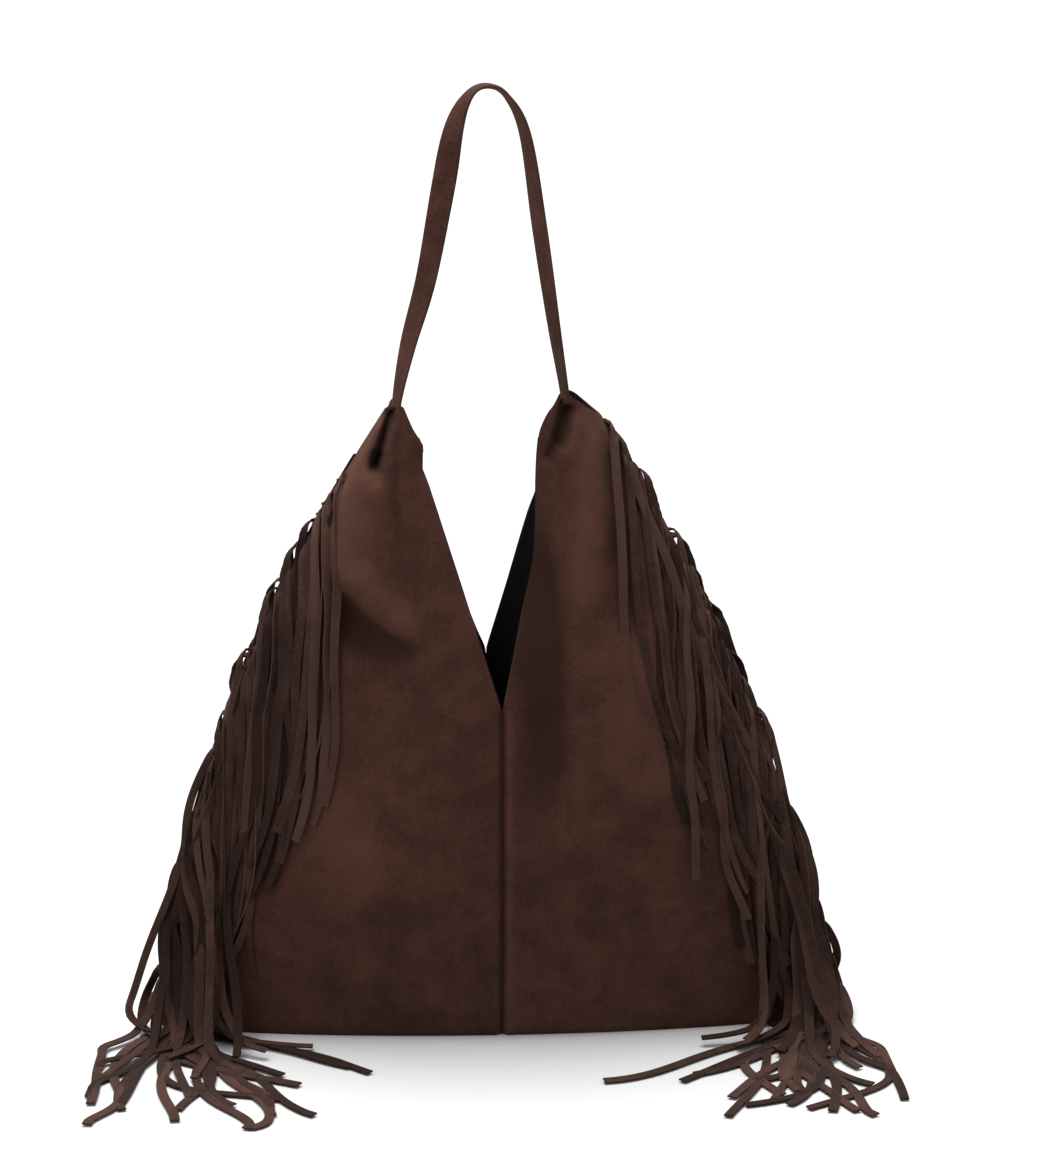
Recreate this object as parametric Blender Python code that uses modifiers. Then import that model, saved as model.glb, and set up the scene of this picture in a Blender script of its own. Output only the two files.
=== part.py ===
"""Fringed suede shoulder bag: a soft V-topped bag with a fringe down each side seam.

Metres, +Z up. The front faces -Y, and the origin is on the floor under the middle of the bag.
Four suede panels are sewn along the sides, the middle and the base. A dark lining hangs inside.
Two cut-suede fringes are caught in the side seams, and one folded strap joins the two peaks.
"""

import math

import bmesh
import bpy
import numpy as np
from mathutils import Vector

# ---- Driving dimensions, in metres ----
SUEDE = 0.0014  # thickness of the suede panels
LINING = 0.0008  # thickness of the lining cloth
SEAM_GAP = 0.0003  # clearance between two sewn edges
LINING_EASE = 0.0010  # space between a panel and the lining
BASE_HALF_WIDTH = 0.262
BASE_SEAM_ROUND = 0.008  # height of the rolled lower edge
RIGHT_PEAK, LEFT_PEAK = 0.482, 0.478  # heights of the two peaks
FRINGE_LENGTH = 0.250
FRINGE_THICK = 0.004  # depth of the hanging strips taken together
FRINGE_CLEAR = 0.008  # from the bag's face to the middle of the strips
FRINGE_LOW, FRINGE_HIGH = 0.010, 0.440  # where the fringe starts and ends on the seam
STRAP_WIDTH, STRAP_THICK = 0.019, 0.004
LEFT, RIGHT = -1, 1
FRONT, BACK = -1, 1

# The side seam stands in from the base corner by slope * z + curve * z * z.
SEAM_LEAN = {LEFT: (0.085, 0.61), RIGHT: (0.19, 0.44)}

# How far outside the seam's stitches the strips are joined; both sides reach equally far out.
FRINGE_OUT = {LEFT: 0.007, RIGHT: 0.0081}

# The V mouth: heights and places across of the edge, from its lowest point up to the peak.
V_EDGE = {
    (FRONT, LEFT): ((0.256, 0.478), (0.0, -0.0704)),
    (FRONT, RIGHT): ((0.256, 0.378, 0.457, 0.482), (0.0, 0.025, 0.028, 0.042)),
    (BACK, LEFT): ((0.272, 0.478), (-0.005, -0.0704)),
    (BACK, RIGHT): ((0.272, 0.390, 0.457, 0.482), (-0.005, 0.024, 0.028, 0.042)),
}

# Half the depth of the bag at its inner edge, and how far a lobe bulges beyond that, by height.
DEPTH_HEIGHTS = (0.0, 0.06, 0.14, 0.256, 0.35, 0.44, 0.482)
EDGE_DEPTH = (0.043, 0.053, 0.057, 0.054, 0.036, 0.021, 0.015)
LOBE_BULGE = (0.0, 0.0, 0.0, 0.0, 0.014, 0.010, 0.003)
ROUNDNESS = 0.62  # of the bag's section: 1 is a flat lens, 0.5 an ellipse

ACROSS = (0.0, 0.03, 0.09, 0.2, 0.36, 0.56, 0.78, 1.0)  # columns, side seam to inner edge
LEVELS = (0.035, 0.085, 0.14, 0.2, 0.256, 0.272, 0.31, 0.355, 0.4, 0.44)  # rows above the base

# The strap's middle line in the plane y = 0, and how far it is turned from edge-on, in degrees.
STRAP_LINE = (
    (-0.0755, 0.456, 12), (-0.0745, 0.481, 15), (-0.066, 0.522, 40), (-0.052, 0.571, 60),
    (-0.040, 0.636, 68), (-0.031, 0.682, 35), (-0.020, 0.704, 10), (-0.007, 0.711, 0),
    (0.007, 0.703, -5), (0.020, 0.676, -15), (0.031, 0.608, -22), (0.042, 0.530, -20),
    (0.049, 0.487, -15), (0.0525, 0.460, -10),
)  # fmt: skip

COLOURS = {
    "suede": (0.052, 0.023, 0.015),
    "fringe": (0.042, 0.020, 0.015),
    "lining": (0.004, 0.003, 0.003),
}


def clear_scene():
    for item in list(bpy.data.objects):
        bpy.data.objects.remove(item, do_unlink=True)


def material(name, colour):
    made = bpy.data.materials.new(name)
    made.use_nodes = True
    shader = made.node_tree.nodes["Principled BSDF"]
    shader.inputs["Base Color"].default_value = (*COLOURS[colour], 1.0)
    shader.inputs["Roughness"].default_value = 0.95
    shader.inputs["Metallic"].default_value = 0.0
    return made


def collection(name):
    made = bpy.data.collections.new(name)
    bpy.context.scene.collection.children.link(made)
    return made


# ---- The form of the bag ----


def side_seam_x(side, z):
    slope, curve = SEAM_LEAN[side]
    return side * (BASE_HALF_WIDTH - slope * z - curve * z * z)


def inner_edge_x(face, side, z):
    """Across: the centre seam up to the V, and then the edge of the V."""
    heights, places = V_EDGE[face, side]
    if z <= heights[0]:
        return places[0] * z / heights[0]
    return float(np.interp(z, heights, places))


def half_depth(u, z):
    """How far the suede's outer face stands from the plane y = 0, u of the way to the inner edge."""
    edge = float(np.interp(z, DEPTH_HEIGHTS, EDGE_DEPTH))
    bulge = float(np.interp(z, DEPTH_HEIGHTS, LOBE_BULGE))
    rounded = (1 - (1 - u) ** 2) ** ROUNDNESS
    return SUEDE + SEAM_GAP / 2 + edge * rounded + bulge * math.sin(math.pi * u)


def body_point(face, side, u, z):
    across = side_seam_x(side, z) * (1 - u) + inner_edge_x(face, side, z) * u
    return Vector((across, face * half_depth(u, z), z))


def panel_rows(face, side):
    """Each row of a panel as a function of u, from the base seam up to the peak."""
    peak = LEFT_PEAK if side == LEFT else RIGHT_PEAK

    def base_seam(u):
        place = body_point(face, side, u, 0.0)
        return Vector((place.x, 0.0, 0.0))

    def lower_edge(u):
        place = body_point(face, side, u, 0.0)
        return Vector((place.x, place.y * 0.92, 0.0))

    rows = [base_seam, lower_edge]
    for z in (BASE_SEAM_ROUND, *LEVELS, peak):
        rows.append(lambda u, z=z: body_point(face, side, u, z))
    return rows


def mapped_grid(mesh, columns, rows):
    """Adds a grid of quads whose points are rows[j](columns[i]). Returns its vertices."""
    grid = bmesh.ops.create_grid(
        mesh, x_segments=len(columns) - 1, y_segments=len(rows) - 1, size=1.0
    )
    step_x, step_y = 2 / (len(columns) - 1), 2 / (len(rows) - 1)
    for vertex in grid["verts"]:
        i = round((vertex.co.x + 1) / step_x)
        j = round((vertex.co.y + 1) / step_y)
        vertex.co = rows[j](columns[i])
    return grid["verts"]


def add_sheet(mesh, name, group, finish, thickness, offset=-1.0):
    """Turns an open surface into an object with a Solidify modifier."""
    data = bpy.data.meshes.new(name)
    mesh.to_mesh(data)
    mesh.free()
    data.materials.append(finish)
    made = bpy.data.objects.new(name, data)
    group.objects.link(made)
    solid = made.modifiers.new("thickness", "SOLIDIFY")
    solid.thickness = thickness
    solid.offset = offset
    solid.use_even_offset = False
    data.shade_smooth()
    data.set_sharp_from_angle(angle=math.radians(40))
    return made


def face_outwards(mesh, face, side):
    """The grid's own faces point one way; half of the panels need them turned."""
    if face * side < 0:
        bmesh.ops.reverse_faces(mesh, faces=mesh.faces)


# ---- The pieces ----


def panel(name, face, side, group, finish):
    """One quarter of the bag's suede, which also turns under as a quarter of the base."""
    mesh = bmesh.new()
    for vertex in mapped_grid(mesh, ACROSS, panel_rows(face, side)):
        vertex.co.y += face * SEAM_GAP / 2 if abs(vertex.co.y) < SEAM_GAP else 0.0
    for vertex in mesh.verts:
        if vertex.co.x * side < SEAM_GAP or is_inner_edge(vertex.co, face, side):
            vertex.co.x += side * SEAM_GAP / 2
    face_outwards(mesh, face, side)
    return add_sheet(mesh, name, group, finish, SUEDE)


def is_inner_edge(place, face, side):
    return abs(place.x - inner_edge_x(face, side, place.z)) < SEAM_GAP / 2


def lining(group, finish):
    """A bag of dark cloth inside the panels, blunt at the sides and open along the V."""
    mesh = bmesh.new()
    for face in (FRONT, BACK):
        for side in (LEFT, RIGHT):
            lining_quarter(mesh, face, side)
    bmesh.ops.remove_doubles(mesh, verts=mesh.verts, dist=0.0001)
    bmesh.ops.recalc_face_normals(mesh, faces=mesh.faces)
    mesh.normal_update()
    inset = SUEDE + LINING_EASE
    moves = [(vertex, vertex.normal * inset) for vertex in mesh.verts]
    for vertex, move in moves:
        vertex.co -= move
    return add_sheet(mesh, "lining", group, finish, LINING)


def lining_quarter(mesh, face, side):
    """The same rows as the panels; the first column closes the side on the plane y = 0."""
    rows = []
    for row in panel_rows(face, side)[:-1]:
        rows.append(lambda u, row=row: flat_side(row, u))
    mapped_grid(mesh, ACROSS, rows)


def flat_side(row, u):
    place = row(max(u, ACROSS[1]))
    return Vector((place.x, 0.0, place.z)) if u == ACROSS[0] else place


def strip_point(side, start, run):
    """Where the fringe is, run metres along a strip that leaves the side seam at height start.

    A negative run is a strip on the back. The strip leaves the seam, drops beside the bag, and
    what is left of it lies on the floor, spreading away from the corner.
    """
    face = FRONT if run >= 0 else BACK
    run = abs(run)
    floor = FRINGE_THICK / 2 + SEAM_GAP
    drop = min(run, start - floor)
    height = start - drop
    outward = FRINGE_OUT[side] + 0.003 * min(run / 0.05, 1.0)
    across = side_seam_x(side, start) + side * outward
    seam, inner = side_seam_x(side, height), inner_edge_x(face, side, height)
    inside = min(max((across - seam) / (inner - seam), 0.0), 1.0)
    depth = half_depth(inside, max(height, BASE_SEAM_ROUND))
    wrap = min(run / 0.012, 1.0)
    place = Vector((across, face * wrap * (depth + FRINGE_CLEAR), height))
    spread = math.radians(8 - 38 * min(start / FRINGE_LENGTH, 1.0))
    along = Vector((side * math.sin(spread), face * math.cos(spread), 0.0))
    return place + along * (run - drop) * 0.88


def fringe(name, side, group, finish):
    """All the strips of one side taken together, front and back, joined at the seam."""
    runs = (0.0, 0.012, 0.035, 0.07, 0.11, 0.15, 0.185, 0.22, FRINGE_LENGTH)
    columns = [-run for run in reversed(runs[1:])] + list(runs)
    steps = 12
    rows = []
    for step in range(steps + 1):
        start = FRINGE_LOW + (FRINGE_HIGH - FRINGE_LOW) * step / steps
        rows.append(lambda run, start=start: strip_point(side, start, run))
    mesh = bmesh.new()
    mapped_grid(mesh, columns, rows)
    if side == LEFT:
        bmesh.ops.reverse_faces(mesh, faces=mesh.faces)
    return add_sheet(mesh, name, group, finish, FRINGE_THICK, offset=0.0)


def strap_section(guides):
    """The strap's cross-section, a flat curve that the strap's own curve carries along."""
    data = bpy.data.curves.new("strap_section", "CURVE")
    data.dimensions = "2D"
    data.fill_mode = "NONE"
    spline = data.splines.new("POLY")
    half_w, half_t, corner = STRAP_WIDTH / 2, STRAP_THICK / 2, STRAP_THICK * 0.3
    corners = []
    for sx, sy in ((1, 1), (1, -1), (-1, -1), (-1, 1)):
        pair = [(sx * half_w, sy * (half_t - corner)), (sx * (half_w - corner), sy * half_t)]
        corners += pair[::-1] if sx * sy > 0 else pair
    spline.points.add(len(corners) - 1)
    for point, (x, y) in zip(spline.points, corners):
        point.co = (x, y, 0.0, 1.0)
    spline.use_cyclic_u = True
    made = bpy.data.objects.new("strap_section", data)
    made.hide_render = True
    made.display_type = "WIRE"
    guides.objects.link(made)
    return made


def smooth_line(points, steps):
    """A Catmull-Rom curve through points of any width, with steps spans between each pair."""
    rows = np.array([points[0], *points, points[-1]], float)
    line = []
    for i in range(1, len(rows) - 2):
        a, b, c, d = rows[i - 1 : i + 3]
        for step in range(steps):
            t = step / steps
            line.append(
                0.5 * (2 * b + (c - a) * t + (2 * a - 5 * b + 4 * c - d) * t**2
                       + (3 * b - a - 3 * c + d) * t**3)
            )  # fmt: skip
    return [*line, rows[-1]]


def shoulder_strap(group, guides, finish):
    data = bpy.data.curves.new("shoulder_strap", "CURVE")
    data.dimensions = "3D"
    data.twist_mode = "MINIMUM"
    data.bevel_mode = "OBJECT"
    data.bevel_object = strap_section(guides)
    data.use_fill_caps = True
    line = smooth_line(STRAP_LINE, 3)
    spline = data.splines.new("POLY")
    spline.points.add(len(line) - 1)
    for point, (x, z, turn) in zip(spline.points, line):
        point.co = (x, 0.0, z, 1.0)
        point.tilt = math.radians(turn)
    data.materials.append(finish)
    made = bpy.data.objects.new("shoulder_strap", data)
    group.objects.link(made)
    return made


def main():
    clear_scene()
    group = collection("fringed_suede_bag")
    guides = collection("guides")
    for face, face_name in ((FRONT, "front"), (BACK, "back")):
        for side, side_name in ((LEFT, "left"), (RIGHT, "right")):
            name = f"{face_name}_{side_name}_panel"
            panel(name, face, side, group, material(f"{name}_suede", "suede"))
    lining(group, material("lining_cloth", "lining"))
    fringe("left_fringe", LEFT, group, material("left_fringe_suede", "fringe"))
    fringe("right_fringe", RIGHT, group, material("right_fringe_suede", "fringe"))
    shoulder_strap(group, guides, material("strap_suede", "suede"))


main()
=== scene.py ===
"""Looks of the fringed suede shoulder bag.

Metres, +Z up, the front faces -Y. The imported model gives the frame; every piece here is a finer
stand-in for one of its soft solids: four sewn suede panels, a dark lining, a folded strap and two
long cut fringes whose strips are dropped and settled under gravity before they get their width.
"""

import logging
import math
from collections.abc import Callable, Sequence
from dataclasses import dataclass, field
from enum import Enum

import bmesh
import bpy
import numpy as np
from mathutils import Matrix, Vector, noise


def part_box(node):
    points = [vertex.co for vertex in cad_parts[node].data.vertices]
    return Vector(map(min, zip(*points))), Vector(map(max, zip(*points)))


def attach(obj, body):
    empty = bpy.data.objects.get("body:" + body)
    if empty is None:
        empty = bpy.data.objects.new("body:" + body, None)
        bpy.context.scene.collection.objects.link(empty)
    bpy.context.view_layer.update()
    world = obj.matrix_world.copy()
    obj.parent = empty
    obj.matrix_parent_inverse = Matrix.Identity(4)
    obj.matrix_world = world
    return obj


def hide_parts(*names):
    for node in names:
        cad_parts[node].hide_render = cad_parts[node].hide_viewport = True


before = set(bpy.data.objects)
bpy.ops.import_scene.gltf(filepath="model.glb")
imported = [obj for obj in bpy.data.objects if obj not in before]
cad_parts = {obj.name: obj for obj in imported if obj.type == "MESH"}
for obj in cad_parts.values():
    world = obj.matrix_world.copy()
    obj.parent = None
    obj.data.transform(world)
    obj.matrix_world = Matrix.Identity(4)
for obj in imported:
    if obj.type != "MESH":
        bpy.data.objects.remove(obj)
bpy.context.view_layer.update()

LOG = logging.getLogger("bag")
MM = 0.001
GRAVITY = 9.81


class Side(Enum):
    """The two sides of the bag, as the sign of X."""

    LEFT = -1
    RIGHT = 1


class Face(Enum):
    """The two faces of the bag, as the sign of Y."""

    FRONT = -1
    BACK = 1


# ---------------------------------------------------------------- small curve helpers


def smooth_lookup(at: np.ndarray, knots: Sequence[float], values: Sequence[float]) -> np.ndarray:
    """Reads a smooth curve through a few points, without overshoot.

    Args:
        at: where to read it.
        knots: places of the points, in rising order.
        values: the curve's values there.

    Returns:
        The values at those places; past the ends the end values go on.
    """
    x, y = np.asarray(knots, float), np.asarray(values, float)
    gaps, rises = np.diff(x), np.diff(y) / np.diff(x)
    slopes = np.zeros(len(x))
    same_way = rises[:-1] * rises[1:] > 0
    mean = 2 * rises[:-1] * rises[1:] / np.where(same_way, rises[:-1] + rises[1:], 1.0)
    slopes[1:-1] = np.where(same_way, mean, 0.0)
    slopes[0], slopes[-1] = rises[0], rises[-1]
    at = np.clip(np.asarray(at, float), x[0], x[-1])
    i = np.clip(np.searchsorted(x, at, side="right") - 1, 0, len(x) - 2)
    t = (at - x[i]) / gaps[i]
    return (
        (1 + 2 * t) * (1 - t) ** 2 * y[i]
        + t * (1 - t) ** 2 * gaps[i] * slopes[i]
        + t * t * (3 - 2 * t) * y[i + 1]
        - t * t * (1 - t) * gaps[i] * slopes[i + 1]
    )


def ease(at: np.ndarray, low: float, high: float) -> np.ndarray:
    """A smooth step from 0 at low to 1 at high.

    Args:
        at: where to read it.
        low: where it is 0.
        high: where it is 1.

    Returns:
        The step at each place.
    """
    t = np.clip((np.asarray(at, float) - low) / (high - low), 0.0, 1.0)
    return t * t * (3 - 2 * t)


def held_within(value: np.ndarray, limit: float, room: float) -> np.ndarray:
    """Lets a value run freely up to a limit and then less and less, up to `room` beyond it.

    Args:
        value: any values.
        limit: where the slowing starts.
        room: the most a value goes past the limit.

    Returns:
        The held values.
    """
    return np.minimum(value, limit) + room * np.tanh(np.maximum(value - limit, 0.0) / room)


def catmull_rom(points: Sequence[Sequence[float]], steps: int) -> np.ndarray:
    """A smooth curve through a route's own points.

    Args:
        points: the route, each point with any number of values.
        steps: spans between one point and the next.

    Returns:
        The curve's points, one row each.
    """
    rows = np.array([points[0], *points, points[-1]], float)
    line = []
    for i in range(1, len(rows) - 2):
        a, b, c, d = rows[i - 1 : i + 3]
        for step in range(steps):
            t = step / steps
            cubic = (3 * b - a - 3 * c + d) * t**3
            line.append(0.5 * (2 * b + (c - a) * t + (2 * a - 5 * b + 4 * c - d) * t**2 + cubic))
    return np.array([*line, rows[-1]])


def unit(vectors: np.ndarray) -> np.ndarray:
    """The same vectors, one unit long.

    Args:
        vectors: vectors along the last axis.

    Returns:
        Vectors of length 1.
    """
    return vectors / np.maximum(np.linalg.norm(vectors, axis=-1, keepdims=True), 1e-9)


# ---------------------------------------------------------------- shader maths


class Value:
    """A number socket that can be used in Python expressions; each operation is a Math node."""

    def __init__(self, shader: "Shader", socket: bpy.types.NodeSocket) -> None:
        """Wraps a socket of that shader.

        Args:
            shader: the shader it belongs to.
            socket: the number socket.
        """
        self.shader, self.socket = shader, socket

    def _math(self, operation: str, first: object, second: object = 0.0) -> "Value":
        """One Math node with those two inputs.

        Args:
            operation: the Math node's operation.
            first: its first input.
            second: its second input.

        Returns:
            The result.
        """
        made = self.shader.node(
            "ShaderNodeMath", {"operation": operation}, {0: first, 1: second}
        )
        return Value(self.shader, made.outputs[0])

    def __add__(self, other: object) -> "Value":
        """self + other."""
        return self._math("ADD", self, other)

    def __radd__(self, other: object) -> "Value":
        """other + self."""
        return self._math("ADD", other, self)

    def __sub__(self, other: object) -> "Value":
        """self - other."""
        return self._math("SUBTRACT", self, other)

    def __rsub__(self, other: object) -> "Value":
        """other - self."""
        return self._math("SUBTRACT", other, self)

    def __mul__(self, other: object) -> "Value":
        """self * other."""
        return self._math("MULTIPLY", self, other)

    def __rmul__(self, other: object) -> "Value":
        """other * self."""
        return self._math("MULTIPLY", other, self)

    def __truediv__(self, other: object) -> "Value":
        """self / other."""
        return self._math("DIVIDE", self, other)

    def __rtruediv__(self, other: object) -> "Value":
        """other / self."""
        return self._math("DIVIDE", other, self)

    def step(self, low: float, high: float) -> "Value":
        """A smooth step of this value from 0 at low to 1 at high.

        Args:
            low: where it is 0.
            high: where it is 1.

        Returns:
            The step.
        """
        made = self.shader.node(
            "ShaderNodeMapRange",
            {"interpolation_type": "SMOOTHSTEP"},
            {"Value": self, "From Min": low, "From Max": high},
        )
        return Value(self.shader, made.outputs["Result"])


class Shader:
    """One material and the few calls that build its nodes."""

    def __init__(self, name: str) -> None:
        """Makes an empty material with a Principled shader.

        Args:
            name: the material's name.
        """
        self.material = bpy.data.materials.new(name)
        self.material.use_nodes = True
        self.tree = self.material.node_tree
        self.tree.nodes.clear()
        self.surface = self.node("ShaderNodeBsdfPrincipled", {}, {})
        self.node("ShaderNodeOutputMaterial", {}, {"Surface": self.surface.outputs[0]})

    def node(self, kind: str, settings: dict, inputs: dict) -> bpy.types.Node:
        """Adds any node.

        Args:
            kind: the node's type.
            settings: its own properties, set before its sockets.
            inputs: socket name or number to a value, a Value or a socket to link.

        Returns:
            The node.
        """
        made = self.tree.nodes.new(kind)
        for key, value in settings.items():
            setattr(made, key, value)
        for key, value in inputs.items():
            self.feed(made.inputs[key], value)
        return made

    def feed(self, socket: bpy.types.NodeSocket, value: object) -> None:
        """Links a socket to a Value or another socket, or sets it to a constant.

        Args:
            socket: the input to fill.
            value: a Value, a socket or a constant.
        """
        if isinstance(value, Value):
            value = value.socket
        if isinstance(value, bpy.types.NodeSocket):
            self.tree.links.new(value, socket)
        else:
            socket.default_value = value

    def place(self) -> bpy.types.NodeSocket:
        """The Object coordinates.

        Returns:
            The vector socket.
        """
        return self.node("ShaderNodeTexCoord", {}, {}).outputs["Object"]

    def stretched(self, scale: tuple[float, float, float]) -> bpy.types.NodeSocket:
        """The Object coordinates, scaled along each axis.

        Args:
            scale: the scale along each axis.

        Returns:
            The vector socket.
        """
        mapping = self.node("ShaderNodeMapping", {}, {"Vector": self.place(), "Scale": scale})
        return mapping.outputs["Vector"]

    def attribute(self, name: str) -> Value:
        """A number stored on the piece's own points.

        Args:
            name: the attribute's name.

        Returns:
            The number.
        """
        made = self.node("ShaderNodeAttribute", {"attribute_name": name}, {})
        return Value(self, made.outputs["Fac"])

    def grain(self, vector: object, scale: float, detail: float, rough: float = 0.5) -> Value:
        """A noise pattern from 0 to 1.

        Args:
            vector: the coordinates.
            scale: how fine it is.
            detail: how many finer layers it has.
            rough: how strong the finer layers are.

        Returns:
            The pattern.
        """
        made = self.node(
            "ShaderNodeTexNoise",
            {},
            {"Vector": vector, "Scale": scale, "Detail": detail, "Roughness": rough},
        )
        return Value(self, made.outputs["Fac"])

    def mix(self, low: object, high: object, factor: object) -> bpy.types.NodeSocket:
        """A colour between two colours.

        Args:
            low: the colour at 0.
            high: the colour at 1.
            factor: where between them.

        Returns:
            The colour socket.
        """
        made = self.node("ShaderNodeMix", {"data_type": "RGBA"}, {0: factor, 6: low, 7: high})
        return made.outputs[2]

    def bump(self, height: object, distance: float, strength: float, below: object = None) -> object:
        """A Bump node's normal, on top of another one if it is given.

        Args:
            height: the pattern.
            distance: its depth in metres.
            strength: how much of it is used.
            below: a normal to build on.

        Returns:
            The normal socket.
        """
        inputs = {"Height": height, "Distance": distance, "Strength": strength}
        if below is not None:
            inputs["Normal"] = below
        return self.node("ShaderNodeBump", {}, inputs).outputs["Normal"]


Colour = tuple[float, float, float, float]


@dataclass(frozen=True)
class Suede:
    """Brushed suede: a soft mottled nap with a faint sheen at grazing angles."""

    name: str
    dark: Colour
    light: Colour
    mottle: float = 0.28
    sheen: float = 0.06
    nap_depth: float = 0.35 * MM
    tone_and_shade_attribute: str = ""
    tone_and_shade_weight: float = 0.8
    stretch: tuple[float, float, float] = (1.0, 1.0, 1.0)

    def make(self) -> bpy.types.Material:
        """Builds the material.

        Returns:
            The material.
        """
        shader = Shader(self.name)
        place = shader.stretched(self.stretch)
        clouds = shader.grain(place, 14.0, 5.0, 0.62)
        patches = shader.grain(place, 42.0, 4.0, 0.6)
        nap = shader.grain(place, 420.0, 3.0, 0.7)
        fibre = shader.grain(place, 1900.0, 2.0, 0.6)
        shade = (
            clouds.step(0.28, 0.72) * self.mottle
            + patches.step(0.25, 0.75) * 0.3
            + nap.step(0.3, 0.7) * 0.24
            + fibre * 0.22
            - 0.08
        )
        # The attribute adds painted shade and highlight on the body panels, and a random tone for each
        # strip on the fringe.
        if self.tone_and_shade_attribute:
            shade = shade + (shader.attribute(self.tone_and_shade_attribute) - 0.5) * self.tone_and_shade_weight
        colour = shader.mix(self.dark, self.light, shade.step(0.0, 1.0))
        shader.feed(shader.surface.inputs["Base Color"], colour)
        shader.feed(shader.surface.inputs["Roughness"], 0.86 + nap * 0.12)
        low = shader.bump(patches, 1.2 * MM, 0.35)
        middle = shader.bump(nap, self.nap_depth, 0.55, low)
        fine = shader.bump(fibre, self.nap_depth * 0.5, 0.6, middle)
        shader.feed(shader.surface.inputs["Normal"], fine)
        shader.feed(shader.surface.inputs["Specular IOR Level"], 0.06)
        shader.feed(shader.surface.inputs["Sheen Weight"], self.sheen)
        shader.feed(shader.surface.inputs["Sheen Roughness"], 0.45)
        shader.feed(shader.surface.inputs["Sheen Tint"], (0.75, 0.5, 0.4, 1.0))
        return shader.material


@dataclass(frozen=True)
class LiningCloth:
    """Plain dark twill."""

    name: str = "lining_cloth"
    colour: Colour = (0.004, 0.003, 0.003, 1.0)
    thread: float = 0.6 * MM

    def make(self) -> bpy.types.Material:
        """Builds the material.

        Returns:
            The material.
        """
        shader = Shader(self.name)
        turned = shader.node(
            "ShaderNodeMapping",
            {},
            {"Vector": shader.place(), "Rotation": (0.0, math.radians(45), 0.0)},
        )
        twill = shader.node(
            "ShaderNodeTexWave",
            {"wave_type": "BANDS", "bands_direction": "X"},
            {"Vector": turned.outputs["Vector"], "Scale": 0.3 / self.thread, "Distortion": 0.6},
        )
        lines = Value(shader, twill.outputs["Fac"])
        slubs = shader.grain(shader.stretched((1.0, 1.0, 6.0)), 300.0, 2.0)
        lighter = tuple(c * 2.4 for c in self.colour[:3]) + (1.0,)
        shader.feed(
            shader.surface.inputs["Base Color"],
            shader.mix(self.colour, lighter, (lines * 0.5 + slubs * 0.5) * 0.8),
        )
        shader.feed(shader.surface.inputs["Roughness"], 0.8 + slubs * 0.15)
        shader.feed(shader.surface.inputs["Normal"], shader.bump(lines, 0.15 * MM, 0.4))
        shader.feed(shader.surface.inputs["Specular IOR Level"], 0.1)
        return shader.material


@dataclass(frozen=True)
class PaleFloor:
    """The plain floor."""

    name: str = "pale_floor"
    colour: Colour = (0.4, 0.4, 0.4, 1.0)

    def make(self) -> bpy.types.Material:
        """Builds the material.

        Returns:
            The material.
        """
        shader = Shader(self.name)
        shader.feed(shader.surface.inputs["Base Color"], self.colour)
        shader.feed(shader.surface.inputs["Roughness"], 0.7)
        shader.feed(shader.surface.inputs["Specular IOR Level"], 0.1)
        return shader.material


# ---------------------------------------------------------------- mesh helpers


def sheet_grid(
    mesh: bmesh.types.BMesh,
    columns: int,
    rows: int,
    place: Callable[[np.ndarray, np.ndarray], np.ndarray],
) -> list[bmesh.types.BMVert]:
    """Adds a flat grid and lays it where place says.

    Args:
        mesh: the mesh to add it to.
        columns: faces across.
        rows: faces along.
        place: turns arrays of shares across and along, 0 to 1, into points.

    Returns:
        The grid's vertices.
    """
    verts = bmesh.ops.create_grid(mesh, x_segments=columns, y_segments=rows, size=1.0)["verts"]
    flat = np.array([v.co for v in verts])
    across = np.round((flat[:, 0] + 1) / 2 * columns) / columns
    along = np.round((flat[:, 1] + 1) / 2 * rows) / rows
    for vert, point in zip(verts, place(across, along)):
        vert.co = point
    return verts


def add_piece(
    name: str, mesh: bmesh.types.BMesh, finish: bpy.types.Material, smooth: bool = True
) -> bpy.types.Object:
    """Turns a bmesh into an object at the origin with one finish.

    Args:
        name: the piece's name.
        mesh: its mesh, which is freed.
        finish: its material.
        smooth: whether it is shaded smooth.

    Returns:
        The object, linked to the scene.
    """
    data = bpy.data.meshes.new(name)
    mesh.to_mesh(data)
    mesh.free()
    data.materials.append(finish)
    if smooth:
        data.shade_smooth()
    made = bpy.data.objects.new(name, data)
    bpy.context.scene.collection.objects.link(made)
    return made


def thicken(piece: bpy.types.Object, thickness: float, offset: float = -1.0) -> None:
    """Gives an open surface its thickness.

    Args:
        piece: the object.
        thickness: in metres.
        offset: -1 keeps the surface outside, 0 puts it in the middle.
    """
    solid = piece.modifiers.new("thickness", "SOLIDIFY")
    solid.thickness = thickness
    solid.offset = offset


def apply_modifiers(piece: bpy.types.Object) -> None:
    """Makes a piece's evaluated shape its own mesh.

    Args:
        piece: the object.
    """
    graph = bpy.context.evaluated_depsgraph_get()
    data = bpy.data.meshes.new_from_object(piece.evaluated_get(graph))
    old = piece.data
    piece.modifiers.clear()
    piece.data = data
    bpy.data.meshes.remove(old)
    data.name = piece.name


# ---------------------------------------------------------------- the form of the bag


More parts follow.
